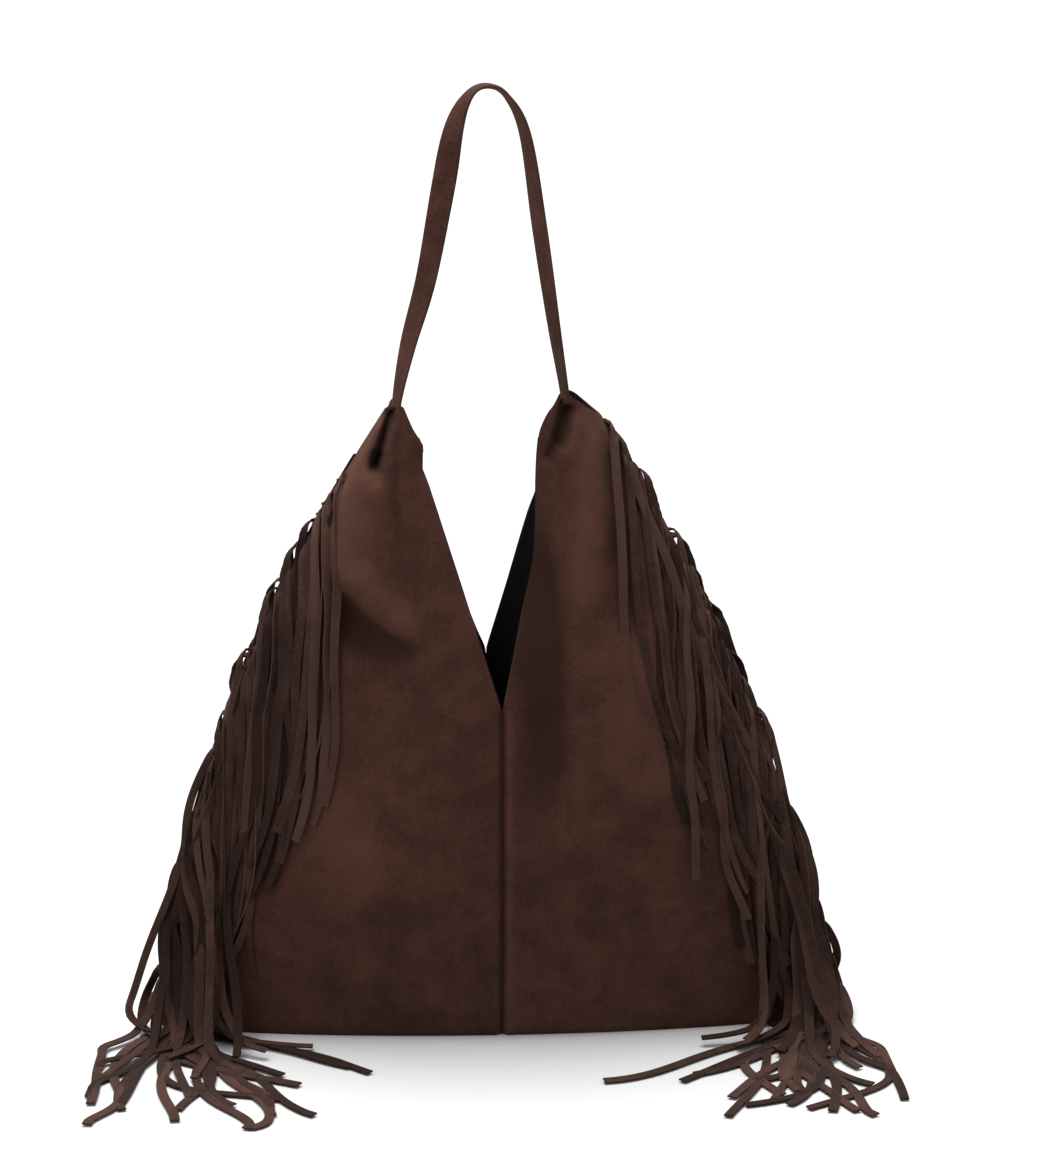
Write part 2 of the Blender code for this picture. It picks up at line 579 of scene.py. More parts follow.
@dataclass(frozen=True)
class Fold:
    """A soft fold along a route on a face of the bag.

    The route is a list of (x, z) points. Height is how far it stands out, or in if negative. The
    two widths are on the route's left and right, seen along it, so that one side can be steep.
    """

    route: tuple[tuple[float, float], ...]
    height: float
    left: float
    right: float
    fade_in: float = 0.3
    fade_out: float = 0.3

    def lift(self, x: np.ndarray, z: np.ndarray) -> np.ndarray:
        """How far the fold moves the surface outwards at points of the face.

        Args:
            x: across.
            z: heights.

        Returns:
            One distance for each point.
        """
        line = catmull_rom(self.route, 6)
        best = np.full(x.shape, np.inf)
        sign, share = np.zeros(x.shape), np.zeros(x.shape)
        count = len(line) - 1
        for i in range(count):
            ax, az = line[i]
            dx, dz = line[i + 1] - line[i]
            t = np.clip(((x - ax) * dx + (z - az) * dz) / (dx * dx + dz * dz), 0.0, 1.0)
            ox, oz = x - ax - t * dx, z - az - t * dz
            far = np.hypot(ox, oz)
            nearer = far < best
            best = np.where(nearer, far, best)
            sign = np.where(nearer, dx * oz - dz * ox, sign)
            share = np.where(nearer, (i + t) / count, share)
        width = np.where(sign > 0, self.left, self.right)
        ends = ease(share, 0.0, self.fade_in) * (1 - ease(share, 1 - self.fade_out, 1.0))
        return self.height * np.exp(-((best / width) ** 2)) * ends


@dataclass(frozen=True)
class BagForm:
    """The standing shape of the bag, as functions of height and of the place across."""

    half_width: float
    peak: dict[Side, float]
    seam_lean: dict[Side, tuple[float, float]]
    mouth: dict[tuple[Face, Side], tuple[tuple[float, ...], tuple[float, ...]]]
    droop: dict[Side, float]
    crown: dict[Side, float]
    heights: tuple[float, ...] = (0.0, 0.06, 0.14, 0.256, 0.35, 0.44, 0.482)
    edge_depth: tuple[float, ...] = (0.043, 0.053, 0.057, 0.054, 0.036, 0.021, 0.014)
    lobe_bulge: tuple[float, ...] = (0.0, 0.0, 0.0, 0.002, 0.014, 0.011, 0.004)
    seam_half: float = 1.6 * MM
    roundness: float = 0.62
    folds: dict[tuple[Face, Side], tuple[Fold, ...]] = field(default_factory=dict)

    def seam_x(self, side: Side, z: np.ndarray) -> np.ndarray:
        """Where a side seam is, at a height.

        Args:
            side: left or right.
            z: heights.

        Returns:
            The seam's X at each height.
        """
        slope, curve = self.seam_lean[side]
        return side.value * (self.half_width - slope * z - curve * z * z)

    def inner_x(self, face: Face, side: Side, z: np.ndarray) -> np.ndarray:
        """The middle seam up to the V, and the V's edge above it.

        Args:
            face: front or back.
            side: left or right.
            z: heights.

        Returns:
            The inner edge's X at each height.
        """
        heights, places = self.mouth[face, side]
        below = places[0] * np.clip(z / heights[0], 0.0, 1.0)
        return np.where(z <= heights[0], below, smooth_lookup(z, heights, places))

    def depth(self, u: np.ndarray, z: np.ndarray) -> np.ndarray:
        """How far the plain form stands from the plane y = 0, u of the way to the inner edge.

        Args:
            u: 0 at the side seam, 1 at the inner edge.
            z: heights.

        Returns:
            How far the face stands out.
        """
        edge = smooth_lookup(z, self.heights, self.edge_depth)
        bulge = smooth_lookup(z, self.heights, self.lobe_bulge)
        u = np.clip(u, 0.0, 1.0)
        rounded = np.power(np.maximum(1 - (1 - u) ** 2, 0.0), self.roundness)
        return self.seam_half + edge * rounded + bulge * np.sin(math.pi * u)

    def depth_at(self, face: Face, side: Side, x: np.ndarray, z: np.ndarray) -> np.ndarray:
        """The plain form's depth at a place across, 0 outside the side seam.

        Args:
            face: front or back.
            side: left or right.
            x: places across.
            z: heights.

        Returns:
            How far the face stands out there, 0 or less outside the bag.
        """
        seam, inner = self.seam_x(side, z), self.inner_x(face, side, z)
        u = (x - seam) / (inner - seam)
        return np.where(u > 0, self.depth(u, z), 0.0)

    def relief(self, face: Face, side: Side, x: np.ndarray, z: np.ndarray) -> np.ndarray:
        """What the folds add to the depth.

        Args:
            face: front or back.
            side: left or right.
            x: places across.
            z: heights.

        Returns:
            The folds' lift at each place.
        """
        total = np.zeros(np.shape(x))
        for fold in self.folds.get((face, side), ()):
            total = total + fold.lift(x, z)
        return total


# ---------------------------------------------------------------- sub-assemblies


@dataclass
class SuedeBody:
    """The four sewn suede panels."""

    form: BagForm
    finish: bpy.types.Material
    thickness: float = 1.4 * MM
    columns: int = 78
    rows: int = 132
    edge_roll: float = 7.0 * MM
    seam_dip: float = 3.2 * MM
    seam_width: float = 2.6 * MM
    seam_lip: float = 0.9 * MM
    base_rows: float = 0.06

    def build(self) -> None:
        """Builds all four panels."""
        for face in Face:
            for side in Side:
                self.panel(face, side)

    def panel(self, face: Face, side: Side) -> bpy.types.Object:
        """Builds one panel, which also turns under as a quarter of the base.

        Args:
            face: front or back.
            side: left or right.

        Returns:
            The panel.
        """
        name = f"{face.name.lower()}_{side.name.lower()}_panel"
        mesh = bmesh.new()
        # This layer holds painted shade in the creases and the middle seam's groove, and painted
        # highlight on the ridges and the seam's right lip.
        tone_and_shade = mesh.verts.layers.float.new("tone_and_shade")
        verts = sheet_grid(
            mesh, self.columns, self.rows, lambda a, b: self.surface(face, side, a, b)
        )
        at = np.array([vert.co for vert in verts])
        for vert, shade in zip(verts, self.painted_fold_shade(face, side, at[:, 0], at[:, 2])):
            vert[tone_and_shade] = shade
        if face.value * side.value < 0:
            bmesh.ops.reverse_faces(mesh, faces=mesh.faces)
        area = sum(f.calc_area() for f in mesh.faces)
        piece = add_piece(f"{name}_suede", mesh, self.finish)
        thicken(piece, self.thickness)
        apply_modifiers(piece)
        piece.data.set_sharp_from_angle(angle=math.radians(50))
        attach(piece, "root")
        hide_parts(name)
        return piece

    def surface(self, face: Face, side: Side, across: np.ndarray, along: np.ndarray) -> np.ndarray:
        """The outer face of a panel.

        Args:
            face: front or back.
            side: left or right.
            across: shares from the side seam to the inner edge.
            along: shares from the base seam, round the lower edge and up to the peak.

        Returns:
            The points.
        """
        form = self.form
        u = 0.5 * across + 0.25 * (1 - np.cos(math.pi * across))
        peak = form.peak[side]
        under = np.clip(along / self.base_rows, 0.0, 1.0)
        rise = np.clip((along - self.base_rows) / (1 - self.base_rows), 0.0, 1.0)
        z = peak * rise * (0.62 + 0.38 * np.sin(math.pi / 2 * rise))
        top = ease(rise, 0.86, 1.0)
        z = z + top * (form.crown[side] * 4 * u * (1 - u) - form.droop[side] * (1 - u) ** 2)
        x = form.seam_x(side, z) * (1 - u) + form.inner_x(face, side, z) * u
        inner_gap = side.value * 0.15 * MM
        x = x + inner_gap * ease(u, 0.9, 1.0)
        depth = form.depth(u, z) + form.relief(face, side, x, z) * self.relief_mask(u, z)
        from_seam = (1 - u) * self.span(face, side, z)
        sewn = 1 - ease(z, form.mouth[face, side][0][0] - 0.004, form.mouth[face, side][0][0] + 0.004)
        lip = self.seam_lip if side is Side.RIGHT else 0.0
        depth = depth - self.seam_dip * np.exp(-((from_seam / self.seam_width) ** 2)) * sewn
        depth = depth + lip * np.exp(-(((from_seam - 0.004) / 0.003) ** 2)) * sewn
        depth = depth + self.undulation(face, x, z) * self.relief_mask(u, z)
        corner = np.clip(z / self.edge_roll, 0.0, 1.0)
        roll = 1 - 0.07 * (1 - np.sqrt(np.maximum(1 - (1 - corner) ** 2, 0.0)))
        depth = np.where(along >= self.base_rows, depth * roll, depth * 0.93 * under)
        depth = np.maximum(depth, 0.15 * MM)
        return np.stack([x, face.value * depth, z], axis=-1)

    def span(self, face: Face, side: Side, z: np.ndarray) -> np.ndarray:
        """The distance from a side seam to the inner edge, at a height.

        Args:
            face: front or back.
            side: left or right.
            z: heights.

        Returns:
            The width at each height.
        """
        return np.abs(self.form.seam_x(side, z) - self.form.inner_x(face, side, z))

    def painted_fold_shade(self, face: Face, side: Side, x: np.ndarray, z: np.ndarray) -> np.ndarray:
        """Painted shade and highlight from the folds: lighter on ridges (painted highlight), darker in
        creases (painted shade), 0.5 between.

        Args:
            face: front or back.
            side: left or right.
            x: places across.
            z: heights.

        Returns:
            The painted shade and highlight at each place.
        """
        form = self.form
        # Painted shade in the creases and painted highlight on the ridges, taken from the folds' relief.
        folded = form.relief(face, side, x, z) * ease(z, 0.0, 0.03)
        shade = 0.5 + np.clip(folded / (9 * MM), -0.6, 0.4)
        from_seam = np.abs(x - form.inner_x(face, side, z))
        sewn = z < form.mouth[face, side][0][0]
        # Painted shade in the middle seam's groove.
        shade = shade - 0.5 * np.exp(-((from_seam / 0.0022) ** 2)) * sewn
        # Painted highlight on the seam's raised right lip.
        lip = 0.35 if side is Side.RIGHT else 0.0
        return shade + lip * np.exp(-(((from_seam - 0.005) / 0.003) ** 2)) * sewn

    def relief_mask(self, u: np.ndarray, z: np.ndarray) -> np.ndarray:
        """Folds and undulations die out at the side seam and at the floor.

        Args:
            u: 0 at the side seam, 1 at the inner edge.
            z: heights.

        Returns:
            The share of the folds to keep.
        """
        return ease(u, 0.0, 0.10) * ease(z, 0.0, 0.03)

    def undulation(self, face: Face, x: np.ndarray, z: np.ndarray) -> np.ndarray:
        """The suede's slight unevenness, the same on both sides of a seam.

        Args:
            face: front or back.
            x: places across.
            z: heights.

        Returns:
            The lift at each place.
        """
        shift = 3.1 if face is Face.FRONT else 9.7
        wide = [noise.noise(Vector((a * 9.0 + shift, b * 7.0, shift))) for a, b in zip(x, z)]
        close = [noise.noise(Vector((a * 30.0, b * 22.0, shift))) for a, b in zip(x, z)]
        return np.array(wide) * 1.8 * MM + np.array(close) * 0.45 * MM


@dataclass
class Lining:
    """The dark bag of cloth inside the panels."""

    form: BagForm
    finish: bpy.types.Material
    inset: float = 3.4 * MM
    thickness: float = 0.6 * MM
    columns: int = 26
    rows: int = 44
    top: float = 0.455
    first_share: float = 0.03

    def build(self) -> bpy.types.Object:
        """Builds the lining as four quarters sewn into one open bag.

        Returns:
            The piece.
        """
        mesh = bmesh.new()
        for face in Face:
            for side in Side:
                sheet_grid(
                    mesh, self.columns, self.rows, lambda a, b: self.surface(face, side, a, b)
                )
        bmesh.ops.remove_doubles(mesh, verts=mesh.verts, dist=0.05 * MM)
        bmesh.ops.recalc_face_normals(mesh, faces=mesh.faces)
        area = sum(f.calc_area() for f in mesh.faces)
        piece = add_piece("inside_lining", mesh, self.finish)
        thicken(piece, self.thickness)
        apply_modifiers(piece)
        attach(piece, "root")
        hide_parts("lining")
        return piece

    def surface(self, face: Face, side: Side, across: np.ndarray, along: np.ndarray) -> np.ndarray:
        """The outer face of one quarter of the lining; its first column lies on y = 0.

        Args:
            face: front or back.
            side: left or right.
            across: 0 at one edge, 1 at the other.
            along: 0 at the base, 1 at the top.

        Returns:
            Points, one row each.
        """
        form = self.form
        u = np.maximum(self.first_share + (1 - self.first_share) * across, self.first_share)
        under = np.clip(along / 0.08, 0.0, 1.0)
        rise = np.clip((along - 0.08) / 0.92, 0.0, 1.0)
        z = self.inset + (self.top - self.inset) * rise
        x = form.seam_x(side, z) * (1 - u) + form.inner_x(face, side, z) * u
        x = x - side.value * self.inset * 2.0 * (1 - ease(u, 0.0, 0.4))
        slack = 11.0 * MM * ease(z, 0.20, 0.27) + 3.0 * MM * ease(z, 0.37, 0.42)
        depth = form.depth(u, z) * 0.97 - self.inset - slack * (1 - ease(u, 0.80, 1.0))
        pressed = np.minimum(form.relief(face, side, x, z), 0.0) * ease(z, 0.0, 0.03)
        depth = np.minimum(depth, form.depth(u, z) + pressed - self.inset)
        depth = np.where(across <= 0.0, 0.0, np.maximum(depth, 0.4 * MM)) * under
        return np.stack([x, face.value * depth, z], axis=-1)


@dataclass
class ShoulderStrap:
    """One strip of suede folded round on itself, its open edge along one side."""

    finish: bpy.types.Material
    width: float = 19.0 * MM
    thickness: float = 4.0 * MM
    route: tuple[tuple[float, float, float, float], ...] = (
        (-0.0755, 0.0, 0.456, 12), (-0.0748, 0.0, 0.481, 16), (-0.0665, 0.0, 0.522, 38),
        (-0.0530, 0.0, 0.571, 60), (-0.0405, 0.0, 0.636, 70), (-0.0315, 0.0, 0.682, 42),
        (-0.0205, 0.0, 0.7045, 14), (-0.0070, 0.0, 0.7110, 0), (0.0070, 0.0, 0.7035, -8),
        (0.0200, 0.0, 0.6760, -20), (0.0305, 0.0, 0.6080, -28), (0.0420, 0.0, 0.5300, -22),
        (0.0490, 0.0, 0.4870, -14), (0.0525, 0.0, 0.4600, -10),
    )  # fmt: skip
    around: int = 56
    edge_step: float = 0.9 * MM

    def frames(self, steps: int) -> tuple[np.ndarray, np.ndarray, np.ndarray]:
        """The strap's middle line with its flat and its width directions.

        Args:
            steps: spans between two points of the route.

        Returns:
            Points, directions out of the flat face, and directions across the width.
        """
        line = catmull_rom(self.route, steps)
        points, turn = line[:, :3], np.radians(line[:, 3])[:, None]
        along = unit(np.gradient(points, axis=0))
        deep = np.array([0.0, 1.0, 0.0])
        level = unit(np.cross(along, deep))
        wide = np.cos(turn) * deep + np.sin(turn) * level
        flat = unit(np.cross(wide, along))
        return points, flat, wide

    def section(self, around: np.ndarray) -> tuple[np.ndarray, np.ndarray]:
        """The strap's rounded flat section, as shares of its half width and half thickness.

        Args:
            around: 0 to 1 around the section.

        Returns:
            Shares of the half width and of the half thickness.
        """
        angle = around * 2 * math.pi
        power = 0.28
        c, s = np.cos(angle), np.sin(angle)
        wide = np.sign(c) * np.abs(c) ** power
        flat = np.sign(s) * np.abs(s) ** (power * 2.2)
        return wide, flat

    def build(self) -> bpy.types.Object:
        """Builds the strap.

        Returns:
            The piece.
        """
        points, flat, wide = self.frames(14)
        rows = len(points) - 1

        def place(around: np.ndarray, along: np.ndarray) -> np.ndarray:
            i = np.round(along * rows).astype(int)
            w, f = self.section(around)
            crown = 1 + 0.10 * np.sin(along * 41.0) * np.cos(around * 2 * math.pi)
            half_w = self.width / 2 * (0.94 + 0.06 * np.sin(along * 17.0 + 1.3))
            open_edge = self.edge_step * (1 - ease(w, -0.56, -0.46)) * np.sign(f)
            return (
                points[i]
                + wide[i] * (w * half_w)[:, None]
                + flat[i] * (f * self.thickness / 2 * crown - open_edge)[:, None]
            )

        mesh = bmesh.new()
        sheet_grid(mesh, self.around, rows, place)
        bmesh.ops.remove_doubles(mesh, verts=mesh.verts, dist=0.02 * MM)
        open_edges = [e for e in mesh.edges if e.is_boundary]
        bmesh.ops.holes_fill(mesh, edges=open_edges, sides=0)
        bmesh.ops.recalc_face_normals(mesh, faces=mesh.faces)
        piece = add_piece("strap_suede", mesh, self.finish)
        piece.data.set_sharp_from_angle(angle=math.radians(60))
        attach(piece, "root")
        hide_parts("shoulder_strap")
        return piece


@dataclass(frozen=True)
class StripSettling:
    """Lets limp strips fall onto the bag and the floor, as chains of points under gravity."""

    form: BagForm
    side: Side
    face: Face
    steps: int = 170
    passes: int = 7
    step_time: float = 1 / 90
    keep_speed: float = 0.955
    stiffness: float = 0.5

    def run(
        self,
        paths: np.ndarray,
        held: np.ndarray,
        lean: np.ndarray,
        clear: np.ndarray,
    ) -> np.ndarray:
        """Settles the strips.

        Args:
            paths: strips by points by 3.
            held: strips by points, 1 where a point is stiffly held at the seam.
            lean: how far outwards each strip is pushed, as a share of its weight.
            clear: how far each strip stays from the bag's face.

        Returns:
            The settled paths.
        """
        now, before = paths.copy(), paths.copy()
        span = np.linalg.norm(np.diff(paths, axis=1), axis=2).mean()
        pull = np.zeros((len(paths), 1, 3))
        pull[:, 0, 0] = self.side.value * lean
        pull[:, 0, 2] = -1.0
        pull *= GRAVITY * self.step_time**2
        for _ in range(self.steps):
            moved = now + (now - before) * self.keep_speed + pull
            before, now = now, moved
            for _ in range(self.passes):
                self.keep_lengths(now, span)
                self.resist_bends(now, span)
                self.collide(now, clear)
                now += (paths - now) * held[..., None]
        return now

    def keep_lengths(self, now: np.ndarray, span: float) -> None:
        """Pulls neighbours back to their distance, from the root down.

        Args:
            now: the paths, changed in place.
            span: the distance to keep.
        """
        for i in range(1, now.shape[1] - 1):
            gap = now[:, i + 1] - now[:, i]
            far = np.maximum(np.linalg.norm(gap, axis=1, keepdims=True), 1e-6)
            fix = gap * (1 - span / far)
            now[:, i + 1] -= fix * (1.0 if i == 1 else 0.62)
            if i > 1:
                now[:, i] += fix * 0.38

    def resist_bends(self, now: np.ndarray, span: float) -> None:
        """Keeps points further along apart, so that no bend is tight.

        Args:
            now: the paths, changed in place.
            span: the distance between neighbours.
        """
        for apart, least, share in ((2, 1.988, self.stiffness), (4, 3.90, self.stiffness / 2)):
            gap = now[:, apart:] - now[:, :-apart]
            far = np.maximum(np.linalg.norm(gap, axis=2, keepdims=True), 1e-6)
            fix = gap * np.maximum(least * span / far - 1, 0.0) * share
            now[:, apart:] += fix * 0.5
            now[:, :-apart] -= fix * 0.5

    def collide(self, now: np.ndarray, clear: np.ndarray) -> None:
        """Keeps the strips out of the bag and above the floor.

        Args:
            now: the paths, changed in place.
            clear: how far each strip stays from the bag's face.
        """
        free = now[:, 2:]
        x, y, z = free[..., 0], free[..., 1] * self.face.value, free[..., 2]
        depth = self.form.depth_at(self.face, self.side, x, np.maximum(z, 0.0))
        need = np.where(depth > 0, depth + clear[:, None], 0.6 * MM)
        free[..., 1] = np.maximum(y, need) * self.face.value
        free[..., 2] = np.maximum(z, 2.2 * MM)


@dataclass
class Fringe:
    """One cut-suede trim: a narrow header caught in the side seam, and its two rows of strips.

    Top and bottom are the heights of the trim's ends. Of the strips, the share `sloped` follows
    the seam and the others hang straighter, by `hang`. Strips with roots below `grounded` reach
    the floor: `spread` has their mean direction and its scatter in degrees, `beside` and `ahead`
    say how far they get, `fall` how steeply they drop and `floor_bend` how softly they turn.
    """

    form: BagForm
    side: Side
    finish: bpy.types.Material
    top: float
    sloped: float
    seed: int
    spread: dict[Face, tuple[float, float]]
    hang: tuple[float, float]
    beside: float
    ahead: float = 0.195
    bottom: float = 0.006
    length: float = 0.250
    grounded: float = 0.236
    fall: tuple[float, float] = (0.90, 0.985)
    floor_bend: tuple[float, float] = (0.008, 0.018)
    strip_width: float = 6.6 * MM
    thickness: float = 1.2 * MM
    pitch: float = 7.3 * MM
    points: int = 34
    header: float = 4.0 * MM

    def seam(self) -> np.ndarray:
        """Heights of the roots, evenly spaced along the seam.

        Returns:
            The heights, from the bottom up.
        """
        z = np.linspace(self.bottom, self.top, 400)
        x = self.form.seam_x(self.side, z)
        run = np.concatenate([[0.0], np.cumsum(np.hypot(np.diff(x), np.diff(z)))])
        return np.interp(np.arange(0.0, run[-1], self.pitch), run, z)

    def clumps(self, count: int, rng: np.random.Generator) -> np.ndarray:
        """A smooth run of differences from strip to strip, about -1 to 1.

        Args:
            count: how many strips.
            rng: where the differences come from.

        Returns:
            One number for each strip.
        """
        knots = np.arange(0.0, count + 7.0, 6.0)
        return smooth_lookup(np.arange(count), knots, rng.uniform(-1, 1, len(knots)))

    def laid_out(self, face: Face, rng: np.random.Generator) -> tuple[np.ndarray, ...]:
        """How the strips of one row start: out of the seam and down, or combed over the floor.

        Args:
            face: front or back row.
            rng: where the strips' differences come from.

        Returns:
            The paths, where they are held, each strip's push outwards and its clearance.
        """
        heights = self.seam()
        count, side = len(heights), self.side.value
        heights = heights + rng.uniform(-1.5, 1.5, count) * MM
        looped = rng.random(count) < 0.10
        rise = np.where(looped, 0.1, rng.uniform(-1.6, -0.3, count))
        out = unit(np.stack([np.full(count, side), face.value * rng.uniform(0, 0.5, count), rise], 1))
        root_x = self.form.seam_x(self.side, heights) - side * 2.0 * MM
        root = np.stack([root_x, np.full(count, face.value * 0.6 * MM), heights], axis=1)
        lead = self.header + (2.5 + 2.5 * self.clumps(count, rng)) * MM
        lead += np.where(looped, rng.uniform(1, 5, count), rng.gamma(1.5, 1.0, count)) * MM
        step = self.length / (self.points - 1)
        followed = np.where(
            rng.random(count) < self.sloped,
            rng.uniform(0.65, 0.95, count),
            rng.uniform(*self.hang, count) + 0.08 * self.clumps(count, rng),
        )
        slope, curve = self.form.seam_lean[self.side]
        lean = (slope + 2 * curve * np.maximum(heights - self.length / 2, 0)) * followed
        falling = unit(np.stack([side * lean, np.zeros(count), -np.ones(count)], axis=1))
        paths = np.zeros((count, self.points, 3))
        paths[:, 0] = root
        for i in range(1, self.points):
            ahead = np.where((i * step < lead)[:, None] | (i == 1), out, falling)
            paths[:, i] = paths[:, i - 1] + ahead * step
        held = (np.arange(self.points)[None, :] * step <= lead[:, None]).astype(float)
        held[:, :2] = 1.0
        middle, scatter = self.spread[face]
        laid = np.random.default_rng(rng.integers(1 << 30))
        for i in np.where(heights < self.grounded)[0]:
            heading = math.radians(middle + scatter * np.clip(laid.normal(), -1.5, 1.5))
            paths[i] = self.combed(face, root[i], heading, lean[i], laid)
            held[i] = 1.0
        clear = rng.uniform(1.5, 9.0, count) * MM
        return paths, held, lean, clear

    def combed(
        self, face: Face, root: np.ndarray, heading: float, lean: float, rng: np.random.Generator
    ) -> np.ndarray:
        """A strip that reaches the floor: it drops, bends and runs on over the floor.

        Args:
            face: front or back.
            root: where the strip leaves the seam.
            heading: which way it goes over the floor, 0 straight away from the bag.
            lean: how far it moves outwards for each metre of drop.
            rng: where the strips' differences come from.

        Returns:
            The path.
        """
        side = self.side.value
        run = np.linspace(0.0, 1.15 * self.length, 230)
        steep = rng.uniform(*self.fall)
        bend = rng.uniform(*self.floor_bend)
        height = bend * np.logaddexp(0.0, (root[2] - steep * run) / bend)
        height *= root[2] / height[0]
        drop = np.clip(-np.gradient(height, run[1]), 0.0, steep)
        onward = 1 - drop / steep
        wander = rng.uniform(4, 14) + 26 * rng.uniform(0.3, 1) * (1 - root[2] / self.grounded)
        swing = math.radians(wander) * np.sin(
            2 * math.pi * (run / rng.uniform(0.16, 0.34) + rng.uniform(0, 1))
        )
        curl = math.radians(rng.uniform(25, 60)) * rng.choice((-1.0, 1.0))
        turned = heading + swing + curl * (run / self.length) ** 2
        level = np.stack([side * np.sin(turned), face.value * np.cos(turned)], 1)
        falling = np.array([side * lean, face.value * rng.uniform(0.05, 0.45)])
        level = unit(level * onward[:, None] + falling * (1 - onward)[:, None])
        level *= np.sqrt(1 - drop**2)[:, None] * run[1]
        path = np.zeros((len(run), 3))
        path[:, :2] = root[:2] + np.cumsum(level, axis=0)
        arch = rng.uniform(3, 10) * MM * np.sin(math.pi * np.clip(run / 0.085, 0, 1))
        path[:, 0] += side * arch
        late = ease(run / self.length, 0.1, 0.55)
        path[:, 0] += (self.drawn_in(path[:, 0], face) - path[:, 0]) * late
        depth = self.form.depth_at(face, self.side, path[:, 0], height)
        need = np.where(depth > 0, depth + 2.5 * MM, 0.6 * MM)
        ahead = held_within(path[:, 1] * face.value, self.ahead, 0.04)
        path[:, 1] = np.maximum(ahead, need) * face.value
        away = np.hypot(path[:, 0] - root[0], path[:, 1])
        layer = 26 * MM * root[2] / self.length * rng.uniform(0.1, 1)
        path[:, 2] = np.maximum(height, 2.2 * MM + layer * np.exp(-((away / 0.08) ** 2)))
        run = np.concatenate([[0.0], np.cumsum(np.linalg.norm(np.diff(path, axis=0), axis=1))])
        at = np.linspace(0.0, min(run[-1], self.length), self.points)
        return np.stack([np.interp(at, run, path[:, k]) for k in range(3)], axis=1)

    def drawn_in(self, x: np.ndarray, face: Face) -> np.ndarray:
        """Keeps the pile from spreading far beside the bag, and hides the back one behind it.

        Args:
            x: places across.
            face: front or back row.

        Returns:
            The places, moved in where they are too far out.
        """
        side = self.side.value
        room = self.beside / 2
        limit = self.form.half_width + (room if face is Face.FRONT else -2 * room)
        return side * held_within(x * side, limit, room)

    def limpness(self, paths: np.ndarray, rng: np.random.Generator) -> np.ndarray:
        """Adds the sway of each clump and the slow waves that cut suede keeps.

        Args:
            paths: strips by points by 3.
            rng: where the differences come from.

        Returns:
            The swayed paths.
        """
        count, length = paths.shape[:2]
        run = np.linspace(0.0, self.length, length)[None, :]
        fixed = ease(run, 0.01, 0.09)
        hung = ease(paths[..., 2].min(axis=1, keepdims=True), 0.0, 0.03)
        sway = self.clumps(count, rng) * 4 * MM + rng.normal(0.0, 2.5, count) * MM
        made = paths.copy()
        made[..., 0] += sway[:, None] * hung * (run / self.length) ** 1.3
        for _ in range(2):
            high = rng.normal(0.0, 1.0, (count, 1)) * MM
            long = rng.uniform(0.07, 0.2, (count, 1))
            start = rng.uniform(0, 2 * math.pi, (count, 1))
            made[..., 0] += high * fixed * np.sin(2 * math.pi * run / long + start)
        return made

    def normals(self, paths: np.ndarray, face: Face, rng: np.random.Generator) -> np.ndarray:
        """Which way each strip's flat side looks along it: out at the root, then towards the
        viewer with a twist of its own, and up where it lies on the floor.

        Args:
            paths: strips by points by 3.
            face: front or back row.
            rng: where the twists come from.

        Returns:
            One direction for each point.
        """
        count, length = paths.shape[:2]
        share = np.linspace(0.0, 1.0, length)[None, :]
        along = unit(np.gradient(paths, axis=1))
        first = rng.normal(0.0, 0.5, (count, 1))
        last = first * 0.5 + rng.normal(0.0, 0.5, (count, 1))
        sway = rng.normal(0.0, 0.35, (count, 1)) * np.sin(
            share * math.pi * rng.uniform(1.0, 2.6, (count, 1)) + rng.uniform(0, 6, (count, 1))
        )
        angle = first + (last - first) * share + sway
        ahead = np.stack(
            [np.sin(angle), face.value * np.cos(angle), np.zeros_like(angle)], axis=-1
        )
        outward = np.zeros_like(ahead)
        outward[..., 0], outward[..., 2] = self.side.value, 0.6
        root = 1 - ease(share, 0.02, 0.11)[..., None]
        flat = ease(paths[..., 2], 0.045, 0.008)[..., None]
        up = np.array([0.0, 0.0, 1.0])
        hint = ahead * (1 - root) + outward * root
        hint = hint * (1 - flat) + (up + 0.12 * hint) * flat
        hint = hint - (hint * along).sum(-1, keepdims=True) * along
        return unit(hint)

    def build(self) -> bpy.types.Object:
        """Builds the header and both rows of strips as one piece.

        Returns:
            The piece.
        """
        rng = np.random.default_rng(self.seed)
        mesh = bmesh.new()
        tone_and_shade = mesh.verts.layers.float.new("tone_and_shade")
        for face in Face:
            paths, held, lean, clear = self.laid_out(face, rng)
            settling = StripSettling(self.form, self.side, face)
            paths = self.limpness(settling.run(paths, held, lean, clear), rng)
            fine = np.stack([catmull_rom(path, 2) for path in paths])
            flats = self.normals(fine, face, rng)
            for path, flat in zip(fine, flats):
                self.strip(mesh, tone_and_shade, path, flat, rng)
        self.header_band(mesh, tone_and_shade)
        area = sum(f.calc_area() for f in mesh.faces)
        name = f"{self.side.name.lower()}_fringe"
        piece = add_piece(f"{name}_strips", mesh, self.finish, smooth=True)
        thicken(piece, self.thickness, 0.0)
        apply_modifiers(piece)
        piece.data.set_sharp_from_angle(angle=math.radians(45))
        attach(piece, "root")
        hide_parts(name)
        return piece

    def strip(
        self,
        mesh: bmesh.types.BMesh,
        tone_and_shade: bmesh.types.BMLayerItem,
        path: np.ndarray,
        flat: np.ndarray,
        rng: np.random.Generator,
    ) -> None:
        """Adds one strip: a narrow ribbon with a slight cup and its own tone.

        Args:
            mesh: the mesh to add to.
            tone_and_shade: the layer that holds each strip's tone.
            path: its points.
            flat: which way its flat side looks at each point.
            rng: where its own width and tone come from.
        """
        rows = len(path) - 1
        along = unit(np.gradient(path, axis=0))
        wide = np.cross(flat, along)
        half = self.strip_width / 2 * rng.uniform(0.86, 1.1)
        cup = rng.uniform(-0.5, 0.5) * MM

